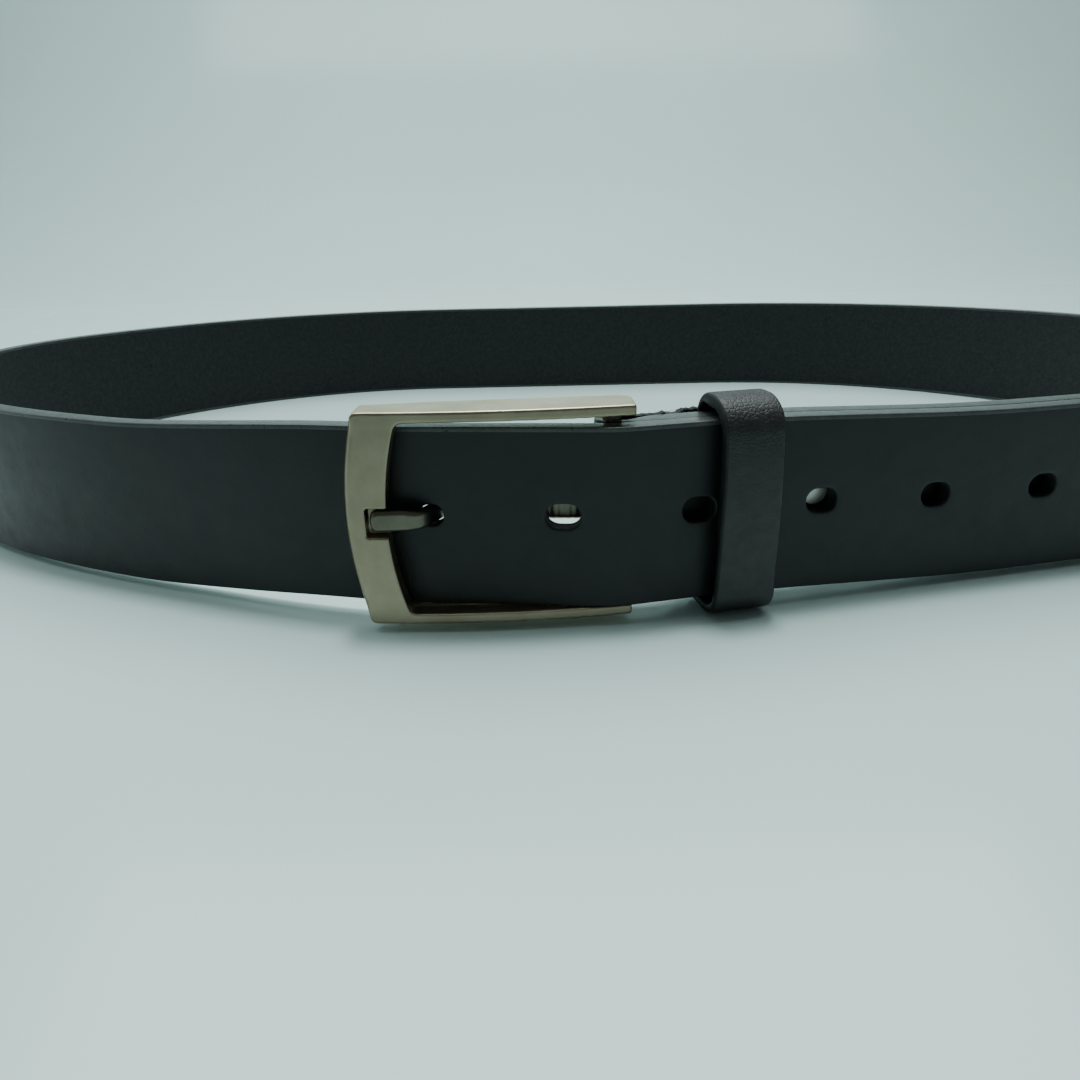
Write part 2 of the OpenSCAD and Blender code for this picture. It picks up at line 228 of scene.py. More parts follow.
def lift(s):
    """How far the buckle holds the strap off the floor, s from the pin bar."""
    left = ease((s - LIFT_LEFT[0]) / LIFT_LEFT[1])
    right = ease((s - LIFT_RIGHT[0]) / LIFT_RIGHT[1])
    return STRAP_LIFT * left * (1 - right)


def bow(s):
    """How far the loop's left front stands out, s from the pin bar."""
    out = ease((LEFT_BOW_OUT[0] - s) / LEFT_BOW_OUT[1])
    back = ease((LEFT_BOW_BACK[0] - s) / LEFT_BOW_BACK[1])
    return LEFT_BOW * out * (1 - back)


class GrainLine:
    """The strap's grain face seen from above: m runs from the flap's end (negative) through the
    fold (0 is where the inner layer starts) and round the loop to the tip."""

    def __init__(self):
        xs = np.arange(FLAP_LEN, -SAMPLE / 2, -SAMPLE)
        ys = flap_y(xs) + SKIVE_T / 2
        slope = np.gradient(ys, xs)
        flap = self.turned(xs, ys, 180 + np.degrees(np.arctan(slope)))
        flap_t = SKIVE_T * np.cos(np.arctan(slope))
        angles = np.arange(92, 268.1, 2)
        a = np.radians(angles)
        fold = self.turned(FOLD_R * np.cos(a), FOLD_R * np.sin(a), angles + 90)
        before = np.vstack([flap, fold])
        body = trace(on_lap(0, INNER_MID), BODY_PATH)
        free = trace(on_lap(PIN_BEND_END, OUTER_MID), [
            (INNER_LEN - PIN_BEND_END, 0), bend(END_R, TIP_TURN)])
        free[:, 0] += body[-1, 0]
        free[:, 3] += 360
        after = np.vstack([body, free[1:]])
        after[:, 3] += 360
        heading = np.radians(after[:, 3])
        after[:, 1] += STRAP_T / 2 * np.sin(heading)
        after[:, 2] -= STRAP_T / 2 * np.cos(heading)
        gaps = np.hypot(*np.diff(np.vstack([before, after[:1, 1:]])[:, :2], axis=0).T)
        m_before = -np.cumsum(gaps[::-1])[::-1]
        t_after = SKIVE_T + (STRAP_T - SKIVE_T) * ease(
            (after[:, 0] - SKIVE_RUN[0]) / (SKIVE_RUN[1] - SKIVE_RUN[0]))
        self.m = np.concatenate([m_before, after[:, 0]])
        self.x = np.concatenate([before[:, 0], after[:, 1]])
        self.y = np.concatenate([before[:, 1], after[:, 2]])
        self.heading = np.unwrap(np.concatenate([np.radians(before[:, 2]), heading]))
        self.t = np.concatenate([flap_t, np.full(len(fold), SKIVE_T), t_after])
        self.start = self.m[0]

    @staticmethod
    def turned(x, y, heading):
        """Rows of x, y and heading, turned from the overlap's direction to the frame's."""
        c = math.cos(math.radians(LAP_HEADING))
        s = math.sin(math.radians(LAP_HEADING))
        return np.column_stack([x * c - y * s, x * s + y * c, heading + LAP_HEADING])

    def thickness(self, m):
        return np.interp(m, self.m, self.t)

    def at(self, m, z, depth):
        """Points in millimetres for distances m, heights z above the strap's lower edge and
        depths below the grain face. The left front is bowed out, and the buckle lifts the front."""
        x = np.interp(m, self.m, self.x)
        y = np.interp(m, self.m, self.y)
        h = np.interp(m, self.m, self.heading)
        rise = np.where(m < STRAP_LEN / 2, lift(np.abs(m)), lift(m - STRAP_LEN))
        depth = depth - bow(m - STRAP_LEN)
        return np.stack([x - depth * np.sin(h), y + depth * np.cos(h), z + rise], axis=-1)


LINE = GrainLine()

# ---------------------------------------------------------------- meshes


def mesh_piece(name, points, faces, materials, indices=None):
    """A smooth-shaded object from points in millimetres."""
    mesh = bpy.data.meshes.new(name)
    mesh.from_pydata((points * MM + ORIGIN).tolist(), [], [list(map(int, f)) for f in faces])
    for material in materials:
        mesh.materials.append(material)
    if indices is not None:
        mesh.polygons.foreach_set("material_index", np.asarray(indices, dtype=np.int32))
    mesh.polygons.foreach_set("use_smooth", np.ones(len(mesh.polygons), dtype=bool))
    mesh.validate()
    mesh.update()
    piece = bpy.data.objects.new(name, mesh)
    bpy.context.scene.collection.objects.link(piece)
    return piece


def subdivided(piece, levels):
    """Replaces the piece's mesh with its subdivision surface."""
    modifier = piece.modifiers.new("subdivision", "SUBSURF")
    modifier.levels = levels
    modifier.render_levels = levels
    graph = bpy.context.evaluated_depsgraph_get()
    finer = bpy.data.meshes.new_from_object(piece.evaluated_get(graph))
    piece.modifiers.remove(modifier)
    piece.data = finer
    return piece


# Heights of the mesh's lines across the strap: nine even ones carry the holes' surrounds
EDGE_R = 0.24
WINDOW_Z = HOLE_LEVEL + 1.5 * np.arange(-4, 5)
FACE_Z = np.concatenate([[EDGE_R, 4.2, 8.2], WINDOW_Z, [27.5, 31.0, STRAP_W - EDGE_R]])
WINDOW_FIRST = 3
WINDOW_LAST = WINDOW_FIRST + len(WINDOW_Z) - 1
EDGE_POINTS = 7
GRAIN, EDGE, FLESH = 0, 1, 2
WEAR = 0.07
# Each step of a hole's rim: how far outside the outline, and how deep as a share of thickness
RIM_STEPS = [(1.1, 0.0, GRAIN), (0.32, 0.008, GRAIN), (0.08, 0.03, GRAIN), (0.0, 0.09, FLESH)]
WALL_STEPS = [
    (0.0, 0.4, FLESH), (0.02, 0.7, FLESH), (0.03, 0.9, FLESH),
    (0.2, 0.985, FLESH), (0.6, 1.0, FLESH), (1.3, 1.0, FLESH)]
WOBBLES = (2, 3, 5, 7)


def strip_ring(m, half, ragged):
    """One ring round the strap as (z, depth) rows: grain face up, top edge, flesh face down,
    bottom edge. half is half the strap's width there, ragged the frayed edges' (low, high)."""
    t = float(LINE.thickness(m))
    r = min(EDGE_R, 0.36 * t)
    middle = STRAP_W / 2
    core = (FACE_Z - middle) / (middle - EDGE_R)
    face = middle + core * (half - EDGE_R)
    turns = np.radians([30, 60, 90])
    out = np.concatenate([r * np.sin(turns), [r + 0.06], r * np.sin(turns[::-1])]) + EDGE_R - r
    depth = np.concatenate([r * (1 - np.cos(turns)), [t / 2], t - r * (1 - np.cos(turns[::-1]))])
    low, high = face[0] - out * (1 + ragged[0]), face[-1] + out * (1 + ragged[1])
    return np.concatenate([
        np.column_stack([face, np.zeros(len(face))]),
        np.column_stack([high, depth]),
        np.column_stack([face[::-1], np.full(len(face), t)]),
        np.column_stack([low[::-1], depth[::-1]]),
    ])


class Window:
    """An oblong opening in the strap. half_block is half the length of the mesh block that it
    takes up, in cells lengthwise; a pocket has a depth, a hole goes right through."""

    def __init__(self, centre, length, height, half_block, cells, pocket=None):
        self.centre = centre
        self.length = length
        self.height = height
        self.lines = np.linspace(centre - half_block, centre + half_block, cells + 1)
        self.pocket = pocket

    def outline(self, m, z, offset, wobble):
        """Points of the opening's outline, widened by offset, facing the block's points."""
        flat = (self.length - self.height) / 2
        along = np.clip(m - self.centre, -flat, flat)
        dm = m - self.centre - along
        dz = z - HOLE_LEVEL
        scale = (self.height / 2 + offset + wobble) / np.hypot(dm, dz)
        return self.centre + along + dm * scale, HOLE_LEVEL + dz * scale


def stations(first, last, spacing, windows):
    """Distances of the strap's rings: the windows' own lines, and even ones between them."""
    stops = [first]
    for window in windows:
        stops += [window.lines[0], window.lines[-1]]
    stops.append(last)
    out = [np.array([first])]
    for k in range(0, len(stops), 2):
        a, b = stops[k], stops[k + 1]
        if b - a > 1e-6:
            out.append(np.linspace(a, b, max(2, math.ceil((b - a) / spacing(0.5 * (a + b))) + 1))[1:])
        if k // 2 < len(windows):
            out.append(windows[k // 2].lines[1:])
    return np.concatenate(out)


def strip(name, ms, windows, half_width, frayed, materials, seed):
    """The strap's mesh between two distances, bent along the grain line."""
    rng = np.random.default_rng(seed)
    rings = [strip_ring(m, half_width(m), frayed(m, rng)) for m in ms]
    per = len(rings[0])
    n = len(ms)
    flat = np.array([np.column_stack([np.full(per, m), ring]) for m, ring in zip(ms, rings)])
    points = [flat.reshape(-1, 3)]
    total = n * per
    faces_up = len(FACE_Z)
    back = faces_up + EDGE_POINTS
    cut = np.zeros((n - 1, per), dtype=bool)
    faces, kinds = [], []

    def loop_of(window, i0, i1, back_side):
        """Ring and line numbers round the window's block, and their vertex numbers."""
        rows = list(range(i0, i1)) + [i1] * (WINDOW_LAST - WINDOW_FIRST)
        rows += list(range(i1, i0, -1)) + [i0] * (WINDOW_LAST - WINDOW_FIRST)
        lines = [WINDOW_FIRST] * (i1 - i0) + list(range(WINDOW_FIRST, WINDOW_LAST))
        lines += [WINDOW_LAST] * (i1 - i0) + list(range(WINDOW_LAST, WINDOW_FIRST, -1))
        rows, lines = np.array(rows), np.array(lines)
        columns = back + faces_up - 1 - lines if back_side else lines
        return rows * per + columns, ms[rows], FACE_Z[lines]

    for window in windows:
        i0 = int(np.argmin(np.abs(ms - window.lines[0])))
        i1 = int(np.argmin(np.abs(ms - window.lines[-1])))
        cut[i0:i1, WINDOW_FIRST:WINDOW_LAST] = True
        front, m, z = loop_of(window, i0, i1, False)
        t = LINE.thickness(m)
        angle = np.arctan2(z - HOLE_LEVEL, m - window.centre)
        wobble = WEAR * sum(
            rng.uniform(-1, 1) * np.sin(k * angle + rng.uniform(0, 2 * math.pi)) / k for k in WOBBLES)
        steps = [(offset, share * t, kind) for offset, share, kind in RIM_STEPS]
        if window.pocket is None:
            cut[i0:i1, back + faces_up - 1 - WINDOW_LAST:back + faces_up - 1 - WINDOW_FIRST] = True
            steps += [(offset, share * t, kind) for offset, share, kind in WALL_STEPS]
        else:
            steps += [(0.0, np.full(len(m), window.pocket), EDGE)]
        previous = front
        for offset, depth, kind in steps:
            om, oz = window.outline(m, z, offset, wobble * math.exp(-offset))
            points.append(np.column_stack([om, oz, depth * np.ones(len(m))]))
            ring = total + np.arange(len(m))
            total += len(m)
            quads = np.column_stack([previous, np.roll(previous, -1), np.roll(ring, -1), ring])
            faces += quads.tolist()
            kinds += [kind] * len(quads)
            previous = ring
        if window.pocket is None:
            rear, _, _ = loop_of(window, i0, i1, True)
            quads = np.column_stack([previous, np.roll(previous, -1), np.roll(rear, -1), rear])
            faces += quads.tolist()
            kinds += [FLESH] * len(quads)
        else:
            faces.append(previous.tolist())
            kinds.append(EDGE)

    # The front half of the lower edge takes the grain face's darker material: painted shade on the
    # downward edge, which gets none of the edge material's painted sheen
    half_edge = (EDGE_POINTS + 1) // 2
    kind_of = [GRAIN] * (faces_up - 1) + [EDGE] * (EDGE_POINTS + 1)
    kind_of += [FLESH] * (faces_up - 1) + [EDGE] * half_edge + [GRAIN] * half_edge
    for i in range(n - 1):
        for k in range(per):
            if not cut[i, k]:
                j = (k + 1) % per
                faces.append([i * per + k, i * per + j, (i + 1) * per + j, (i + 1) * per + k])
                raw = ms[i] < -FOLD_LEN and kind_of[k] == EDGE
                kinds.append(FLESH if raw else kind_of[k])
    faces.append(list(range(per))[::-1])
    faces.append(list(range((n - 1) * per, n * per)))
    kinds += [EDGE, EDGE]
    flat = np.vstack(points)
    bent = LINE.at(flat[:, 0], flat[:, 1], flat[:, 2])
    piece = mesh_piece(name, bent, faces, materials, kinds)
    turn_outwards(piece)
    return piece


def turn_outwards(piece):
    """Drops the points that no face uses and makes all the piece's faces look outwards."""
    bpy.context.view_layer.objects.active = piece
    work = bmesh.new()
    work.from_mesh(piece.data)
    unused = [point for point in work.verts if not point.link_faces]
    bmesh.ops.delete(work, geom=unused, context="VERTS")
    bmesh.ops.recalc_face_normals(work, faces=work.faces)
    work.to_mesh(piece.data)
    work.free()


# ---------------------------------------------------------------- solids from distance fields


def rounded_both(a, b, r):
    """Inside both fields, with the edge between them rounded to radius r."""
    return np.minimum(np.maximum(a, b), -r) + np.hypot(np.maximum(a + r, 0), np.maximum(b + r, 0))


def softly_either(a, b, k):
    """Inside either field, with the corner between them filled softly."""
    h = np.clip(0.5 + 0.5 * (b - a) / k, 0, 1)
    return b + (a - b) * h - k * h * (1 - h)


def disc(u, v, cu, cv, r):
    return np.hypot(u - cu, v - cv) - r


def rounded_box(u, v, low, high, r):
    """Distance to a rectangle from low to high with corners of radius r."""
    du = np.abs(u - (low[0] + high[0]) / 2) - (high[0] - low[0]) / 2 + r
    dv = np.abs(v - (low[1] + high[1]) / 2) - (high[1] - low[1]) / 2 + r
    return np.minimum(np.maximum(du, dv), 0) + np.hypot(np.maximum(du, 0), np.maximum(dv, 0)) - r


def capsule(u, v, a, b, ra, rb):
    """Distance to a limb between points a and b, whose radius goes from ra to rb."""
    du, dv = b[0] - a[0], b[1] - a[1]
    t = np.clip(((u - a[0]) * du + (v - a[1]) * dv) / (du * du + dv * dv), 0, 1)
    return np.hypot(u - a[0] - t * du, v - a[1] - t * dv) - ra - t * (rb - ra)


def solid(name, field, low, high, pitch, materials):
    """A closed mesh of quads on the zero surface of field(x, y, z): one point in each cell that
    the surface crosses, then a few Newton steps on to the surface itself."""
    axes = [np.arange(a - 2 * pitch, b + 2.5 * pitch, pitch) for a, b in zip(low, high)]
    grid = np.stack(np.meshgrid(*axes, indexing="ij"), axis=-1)
    value = field(grid[..., 0], grid[..., 1], grid[..., 2])
    dims = value.shape
    places, keys, quads = [], [], []
    for axis in range(3):
        first = [slice(None)] * 3
        second = [slice(None)] * 3
        first[axis] = slice(0, -1)
        second[axis] = slice(1, None)
        crossing = (value[tuple(first)] < 0) != (value[tuple(second)] < 0)
        a = np.argwhere(crossing)
        b = a.copy()
        b[:, axis] += 1
        va, vb = value[tuple(a.T)], value[tuple(b.T)]
        place = grid[tuple(a.T)] + (va / (va - vb))[:, None] * (grid[tuple(b.T)] - grid[tuple(a.T)])
        side, other = [k for k in range(3) if k != axis]
        corners = []
        for ds, do in ((0, 0), (-1, 0), (-1, -1), (0, -1)):
            cell = a.copy()
            cell[:, side] += ds
            cell[:, other] += do
            corners.append(np.ravel_multi_index(cell.T, dims))
            places.append(place)
        keys += corners
        quad = np.column_stack(corners)
        backwards = (va >= 0) if axis != 1 else (va < 0)
        quad[backwards] = quad[backwards][:, ::-1]
        quads.append(quad)
    cells, numbers = np.unique(np.concatenate(keys), return_inverse=True)
    count = np.bincount(numbers)
    places = np.vstack(places)
    points = np.column_stack([np.bincount(numbers, places[:, k]) / count for k in range(3)])
    nudge = 0.01
    steps = nudge * np.eye(3)
    for _ in range(3):
        here = field(*points.T)
        slope = np.column_stack([
            (field(*(points + step).T) - field(*(points - step).T)) / (2 * nudge) for step in steps])
        steep = np.maximum(np.sum(slope * slope, axis=1), 0.2)
        move = here[:, None] * slope / steep[:, None]
        points -= np.clip(move, -pitch / 2, pitch / 2)
    faces = np.searchsorted(cells, np.vstack(quads))
    return mesh_piece(name, points, faces, materials)


# ---------------------------------------------------------------- materials


def surface(name, **sockets):
    """A new material with its Principled shader's sockets set."""
    made = bpy.data.materials.new(name)
    made.use_nodes = True
    shader = made.node_tree.nodes["Principled BSDF"]
    for socket, value in sockets.items():
        shader.inputs[socket.replace("_", " ")].default_value = value
    return made


def add(made, kind, **sockets):
    node = made.node_tree.nodes.new("ShaderNode" + kind)
    for socket, value in sockets.items():
        if socket in node.inputs.keys():
            node.inputs[socket].default_value = value
        else:
            setattr(node, socket, value)
    return node


def wire(made, source, target):
    made.node_tree.links.new(source, target)


def stretched(made, scale):
    """The piece's own coordinates, in metres, multiplied by scale."""
    place = add(made, "TexCoord")
    mapping = add(made, "Mapping")
    mapping.inputs["Scale"].default_value = scale
    wire(made, place.outputs["Object"], mapping.inputs["Vector"])
    return mapping.outputs["Vector"]


def noise(made, vector, scale, detail=4.0, roughness=0.6):
    node = add(made, "TexNoise", Scale=scale, Detail=detail, Roughness=roughness)
    wire(made, vector, node.inputs["Vector"])
    return node.outputs["Fac"]


def ramp(made, value, low, high, start=0.3, end=0.7):
    """Numbers or colours from low to high as value goes from start to end."""
    if isinstance(low, tuple):
        node = add(made, "ValToRGB")
        node.color_ramp.elements[0].position = start
        node.color_ramp.elements[1].position = end
        node.color_ramp.elements[0].color = (*low, 1)
        node.color_ramp.elements[1].color = (*high, 1)
        wire(made, value, node.inputs["Fac"])
        return node.outputs["Color"]
    node = add(made, "MapRange")
    for socket, number in (("From Min", start), ("From Max", end), ("To Min", low), ("To Max", high)):
        node.inputs[socket].default_value = number
    wire(made, value, node.inputs["Value"])
    return node.outputs["Result"]


def bump(made, height, strength, distance, under=None):
    node = add(made, "Bump", Strength=strength, Distance=distance)
    wire(made, height, node.inputs["Height"])
    if under is not None:
        wire(made, under, node.inputs["Normal"])
    return node.outputs["Normal"]


def finish(made, **links):
    shader = made.node_tree.nodes["Principled BSDF"]
    for socket, source in links.items():
        wire(made, source, shader.inputs[socket.replace("_", " ")])
    return made


def grain_leather():
    """Smooth black full-grain leather with fine pores and a soft, uneven gloss."""
    made = surface("strap_grain", Specular_IOR_Level=0.34)
    place = stretched(made, (1, 1, 1))
    pores = add(made, "TexVoronoi", Scale=1500.0)
    wire(made, place, pores.inputs["Vector"])
    tone = ramp(made, noise(made, place, 60.0), (0.0032, 0.0042, 0.0046), (0.0062, 0.0076, 0.0080))
    gloss = ramp(made, noise(made, place, 240.0), 0.40, 0.50)
    normal = bump(made, noise(made, place, 2600.0), 0.16, 0.00010)
    normal = bump(made, pores.outputs["Distance"], 0.12, 0.00010, normal)
    return finish(made, Base_Color=tone, Roughness=gloss, Normal=normal)


def edge_leather():
    """Burnished edge paint, greyer than the face: partly the paint's own tone, partly a painted sheen of
    light on the glossy edge. Fine streaks run along the strap.
    """
    made = surface("strap_edge", Specular_IOR_Level=0.5)
    place = stretched(made, (1, 1, 1))
    layers = stretched(made, (1, 1, 9))
    tone = ramp(made, noise(made, place, 420.0), (0.026, 0.028, 0.027), (0.050, 0.053, 0.051))
    gloss = ramp(made, noise(made, place, 700.0), 0.26, 0.38)
    normal = bump(made, noise(made, layers, 900.0), 0.25, 0.00012)
    return finish(made, Base_Color=tone, Roughness=gloss, Normal=normal)


def flesh_leather():
    """The inner side: dyed through, sanded, with a short fibrous nap."""
    made = surface("strap_flesh", Specular_IOR_Level=0.25)
    place = stretched(made, (1, 1, 1))
    tone = ramp(made, noise(made, place, 900.0), (0.0095, 0.0113, 0.0112), (0.0215, 0.0245, 0.0240))
    gloss = ramp(made, noise(made, place, 500.0), 0.60, 0.76)
    normal = bump(made, noise(made, place, 3200.0, 6.0, 0.7), 0.5, 0.00018)
    return finish(made, Base_Color=tone, Roughness=gloss, Normal=normal)


def pebbled_leather():
    """The keeper's leather, with a raised pebble grain."""
    made = surface("keeper_grain", Specular_IOR_Level=0.5)
    place = stretched(made, (1, 1, 1))
    warped = add(made, "TexNoise", Scale=500.0, Detail=2.0)
    wire(made, place, warped.inputs["Vector"])
    cells = add(made, "TexVoronoi", Scale=1150.0, feature="DISTANCE_TO_EDGE")
    wire(made, place, cells.inputs["Vector"])
    creases = ramp(made, cells.outputs["Distance"], 0.0, 1.0, 0.0, 0.22)
    height = add(made, "SeparateXYZ")
    wire(made, place, height.inputs["Vector"])
    worn = ramp(made, height.outputs["Z"], 0.08, 0.36, 0.031, 0.037)
    dull = ramp(made, height.outputs["Z"], 0.0, 0.1, 0.031, 0.037)
    tone = ramp(made, noise(made, place, 160.0), (0.0024, 0.0028, 0.0030), (0.0052, 0.0058, 0.0060))
    patches = ramp(made, warped.outputs["Fac"], 0.38, 0.5)
    gloss = add(made, "Math", operation="ADD")
    wire(made, patches, gloss.inputs[0])
    wire(made, dull, gloss.inputs[1])
    normal = bump(made, warped.outputs["Fac"], 0.22, 0.00025)
    creased = bump(made, creases, 0.4, 0.00016, normal)
    wire(made, worn, creased.node.inputs["Strength"])
    return finish(made, Base_Color=tone, Roughness=gloss.outputs["Value"], Normal=creased)


def keeper_edge():
    """The keeper's cut sides, dyed as dark as its face."""
    made = surface("keeper_edge", Specular_IOR_Level=0.3)
    place = stretched(made, (1, 1, 1))
    tone = ramp(made, noise(made, place, 700.0), (0.0045, 0.0055, 0.0057), (0.0105, 0.0118, 0.0120))
    gloss = ramp(made, noise(made, place, 400.0), 0.45, 0.6)
    normal = bump(made, noise(made, place, 1800.0), 0.3, 0.00012)
    return finish(made, Base_Color=tone, Roughness=gloss, Normal=normal)


def satin_metal(name, low, high, brush, rough=(0.27, 0.40), painted_top_light=1.0):
    """Brushed metal: low and high are its tones, brush the stretch of its fine lines and
    painted_top_light how much brighter its upward faces are painted, a painted highlight; with it the
    lowest 22 mm get a painted reflection of the floor."""
    made = surface(name, Metallic=1.0)
    lines = noise(made, stretched(made, brush), 1.0, 5.0, 0.65)
    place = stretched(made, (1, 1, 1))
    tone = ramp(made, noise(made, place, 140.0), low, high)
    if painted_top_light > 1:
        # Painted light: a painted highlight on upward faces, and a painted floor reflection that makes
        # the lowest 4 mm 1.3 times as bright, fading out by 22 mm.
        facing = add(made, "SeparateXYZ")
        wire(made, add(made, "TexCoord").outputs["Normal"], facing.inputs["Vector"])
        height = add(made, "SeparateXYZ")
        wire(made, place, height.inputs["Vector"])
        shade = add(made, "Math", operation="MULTIPLY")
        wire(made, ramp(made, facing.outputs["Z"], 1.0, painted_top_light, 0.15, 0.85), shade.inputs[0])
        wire(made, ramp(made, height.outputs["Z"], 1.3, 1.0, 0.004, 0.022), shade.inputs[1])
        scaled = add(made, "VectorMath", operation="SCALE")
        wire(made, tone, scaled.inputs[0])
        wire(made, shade.outputs["Value"], scaled.inputs["Scale"])
        tone = scaled.outputs["Vector"]
    gloss = ramp(made, lines, rough[0], rough[1])
    normal = bump(made, lines, 0.10, 0.00004)
    return finish(made, Base_Color=tone, Roughness=gloss, Normal=normal)


def floor_finish():
    """A pale, slightly glossy sheet."""
    made = surface("pale_sheet", Specular_IOR_Level=0.5)
    place = stretched(made, (1, 1, 1))
    tone = ramp(made, noise(made, place, 3.0), (0.53, 0.69, 0.67), (0.57, 0.72, 0.70))
    gloss = ramp(made, noise(made, place, 9.0), 0.16, 0.22)
    return finish(made, Base_Color=tone, Roughness=gloss)


STRAP_MATERIALS = [grain_leather(), edge_leather(), flesh_leather()]
KEEPER_MATERIALS = [pebbled_leather(), keeper_edge(), STRAP_MATERIALS[FLESH]]
# The last numbers set the frame's and the prong's painted highlights on upward faces: up to 2.0 and 1.6
# times as bright.
NICKEL = satin_metal(
    "satin_nickel", (0.215, 0.178, 0.126), (0.275, 0.230, 0.168), (260, 9000, 9000), (0.30, 0.42), 2.0)
# The prong's tones are about half the frame's.
PRONG_NICKEL = satin_metal(
    "prong_darker_nickel", (0.105, 0.094, 0.074), (0.150, 0.136, 0.108), (260, 9000, 9000), (0.28, 0.38), 1.6)
PIN_NICKEL = satin_metal("pin_nickel", (0.30, 0.295, 0.25), (0.37, 0.36, 0.32), (3000, 3000, 400))
RIVET_NICKEL = satin_metal(
    "rivet_nickel", (0.58, 0.57, 0.52), (0.72, 0.71, 0.66), (2500, 2500, 2500), (0.3, 0.5))
STAPLE_STEEL = satin_metal(
    "staple_steel", (0.42, 0.43, 0.44), (0.56, 0.57, 0.58), (4000, 4000, 900), (0.22, 0.34))

# ---------------------------------------------------------------- the strap

SEAM_S = KEEPER_AT
FLAP_INSET = 1.3
FLAP_NARROWS = (29.0, 6.0)
FRAY_STARTS = 4.0
FRAY_ENDS = (28.0, 6.0)
# Half the length of a window's mesh block, and its cells lengthwise
HOLE_BLOCK = (6.5, 8)
RIVET_BLOCK = (6.0, 8)
SLOT_BLOCK = (11.1, 30)
# The slot for the prong, across the fold's middle, and the first hole, as length and height
PRONG_SLOT = (19.2, 6.0)
TIGHT_HOLE = (4.6, 4.2)
TIGHT_HOLE_SHIFT = 0.7
HEAD_CLEARANCE = 0.1
FLAP_SPACING = 0.4
SKIVE_SPACING = 0.8
STRAP_SPACING = 2.6


def hole_window(number):
    """A hole, counted from the buckle; the leather of the first has closed up round the prong."""
    s = FIRST_HOLE + number * HOLE_PITCH
    if number == 0:
        return Window(STRAP_LEN + s + TIGHT_HOLE_SHIFT, *TIGHT_HOLE, *HOLE_BLOCK)
    return Window(STRAP_LEN + s, HOLE_LEN, HOLE_H, *HOLE_BLOCK)


def body_spacing(m):
    """The distance between the body's rings: closer where the leather is thin or bends."""
    if m < -FOLD_LEN:
        return FLAP_SPACING
    return SKIVE_SPACING if m < SKIVE_RUN[1] else STRAP_SPACING


def body_half(m):
    """Half the strap's width: the flap is trimmed narrower beyond the keeper."""
    return STRAP_W / 2 - FLAP_INSET * float(ease((-m - FOLD_LEN - FLAP_NARROWS[0]) / FLAP_NARROWS[1]))


def fray(m, rng):
    """The flap's skived edges are frayed, as (low, high) shares of the edge's own rounding."""
    away = -m - FOLD_LEN
    if away < FRAY_STARTS:
        return (0.0, 0.0)
    ragged = rng.gamma(0.7, 0.55, 2) - 0.3
    return tuple(ragged * float(1 - ease((away - FRAY_ENDS[0]) / FRAY_ENDS[1])))


def make_strap():
    head = 2 * RIVET_R + HEAD_CLEARANCE
    windows = [
        Window(-FOLD_LEN / 2, *PRONG_SLOT, *SLOT_BLOCK),
        Window(RIVET_2_AT, head, head, *RIVET_BLOCK, pocket=RIVET_HEAD_T + HEAD_CLEARANCE),
    ]
    windows += [hole_window(k) for k in range(3)]
    ms = stations(LINE.start, STRAP_LEN + SEAM_S, body_spacing, windows)
    piece = strip("strap_leather", ms, windows, body_half, fray, STRAP_MATERIALS, 11)
    subdivided(piece, 1)
    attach(piece, "strap")
    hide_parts("strap")


def make_fibres():
    """Loose fibres along the frayed edges of the flap: closed tubes that taper to their ends."""
    rng = np.random.default_rng(21)
    count, sides, steps = 46, 5, 9
    around = np.radians(np.arange(sides) * 360 / sides)
    points, faces = [], []
    for k in range(count):
        top = k % 3 > 0
        away = rng.uniform(5, 30)
        length = rng.uniform(1.2, 5.5)
        lean = rng.normal(0, 0.09)
        thick = rng.uniform(0.035, 0.085)
        curl = rng.uniform(-0.35, 0.35)
        m = -FOLD_LEN - away - np.linspace(0, length, steps) * rng.choice([-1, 1])
        t = np.linspace(0, 1, steps)
        out = -0.15 + 0.45 * t * rng.uniform(0.1, 1.2) + curl * np.sin(math.pi * t) + lean * length * t
        z = STRAP_W + out if top else -out
        depth = SKIVE_T * rng.uniform(0.15, 0.85) + rng.normal(0, 0.25) * t
        base = len(points)
        for i in range(steps):
            r = thick * (1 - 0.8 * t[i])
            for a in around:
                points.append((m[i], z[i] + r * math.cos(a), depth[i] + r * math.sin(a)))
            if i:
                for j in range(sides):
                    low, high = base + (i - 1) * sides, base + i * sides
                    faces.append([low + j, low + (j + 1) % sides, high + (j + 1) % sides, high + j])
        faces.append([base + j for j in range(sides)][::-1])
        faces.append([base + (steps - 1) * sides + j for j in range(sides)])
    flat = np.array(points)
    piece = mesh_piece(
        "strap_fibres", LINE.at(flat[:, 0], flat[:, 1], flat[:, 2]), faces, [STRAP_MATERIALS[FLESH]])
    turn_outwards(piece)
    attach(piece, "strap")


def tip_half(m):
    """Half the strap's width, which the rounded tip brings down to almost nothing."""
    beyond = (m - STRAP_LEN - TIP_AT + TIP_ROUND) / TIP_ROUND
    return STRAP_W / 2 if beyond <= 0 else max(1.2, STRAP_W / 2 * math.sqrt(max(0.0, 1 - beyond ** 2)))


def make_free_end():
    windows = [hole_window(k) for k in range(3, HOLE_COUNT)]
    tip_start = STRAP_LEN + TIP_AT - TIP_ROUND
    ms = stations(STRAP_LEN + SEAM_S, tip_start, lambda m: STRAP_SPACING, windows)
    turns = np.radians(np.linspace(0, 88, 19))[1:]
    ms = np.concatenate([ms, tip_start + TIP_ROUND * np.sin(turns)])
    piece = strip("strap_end_leather", ms, windows, tip_half, lambda m, rng: (0, 0), STRAP_MATERIALS, 12)
    subdivided(piece, 1)
    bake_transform(piece)
    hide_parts("strap_free_end")


# ---------------------------------------------------------------- the keeper

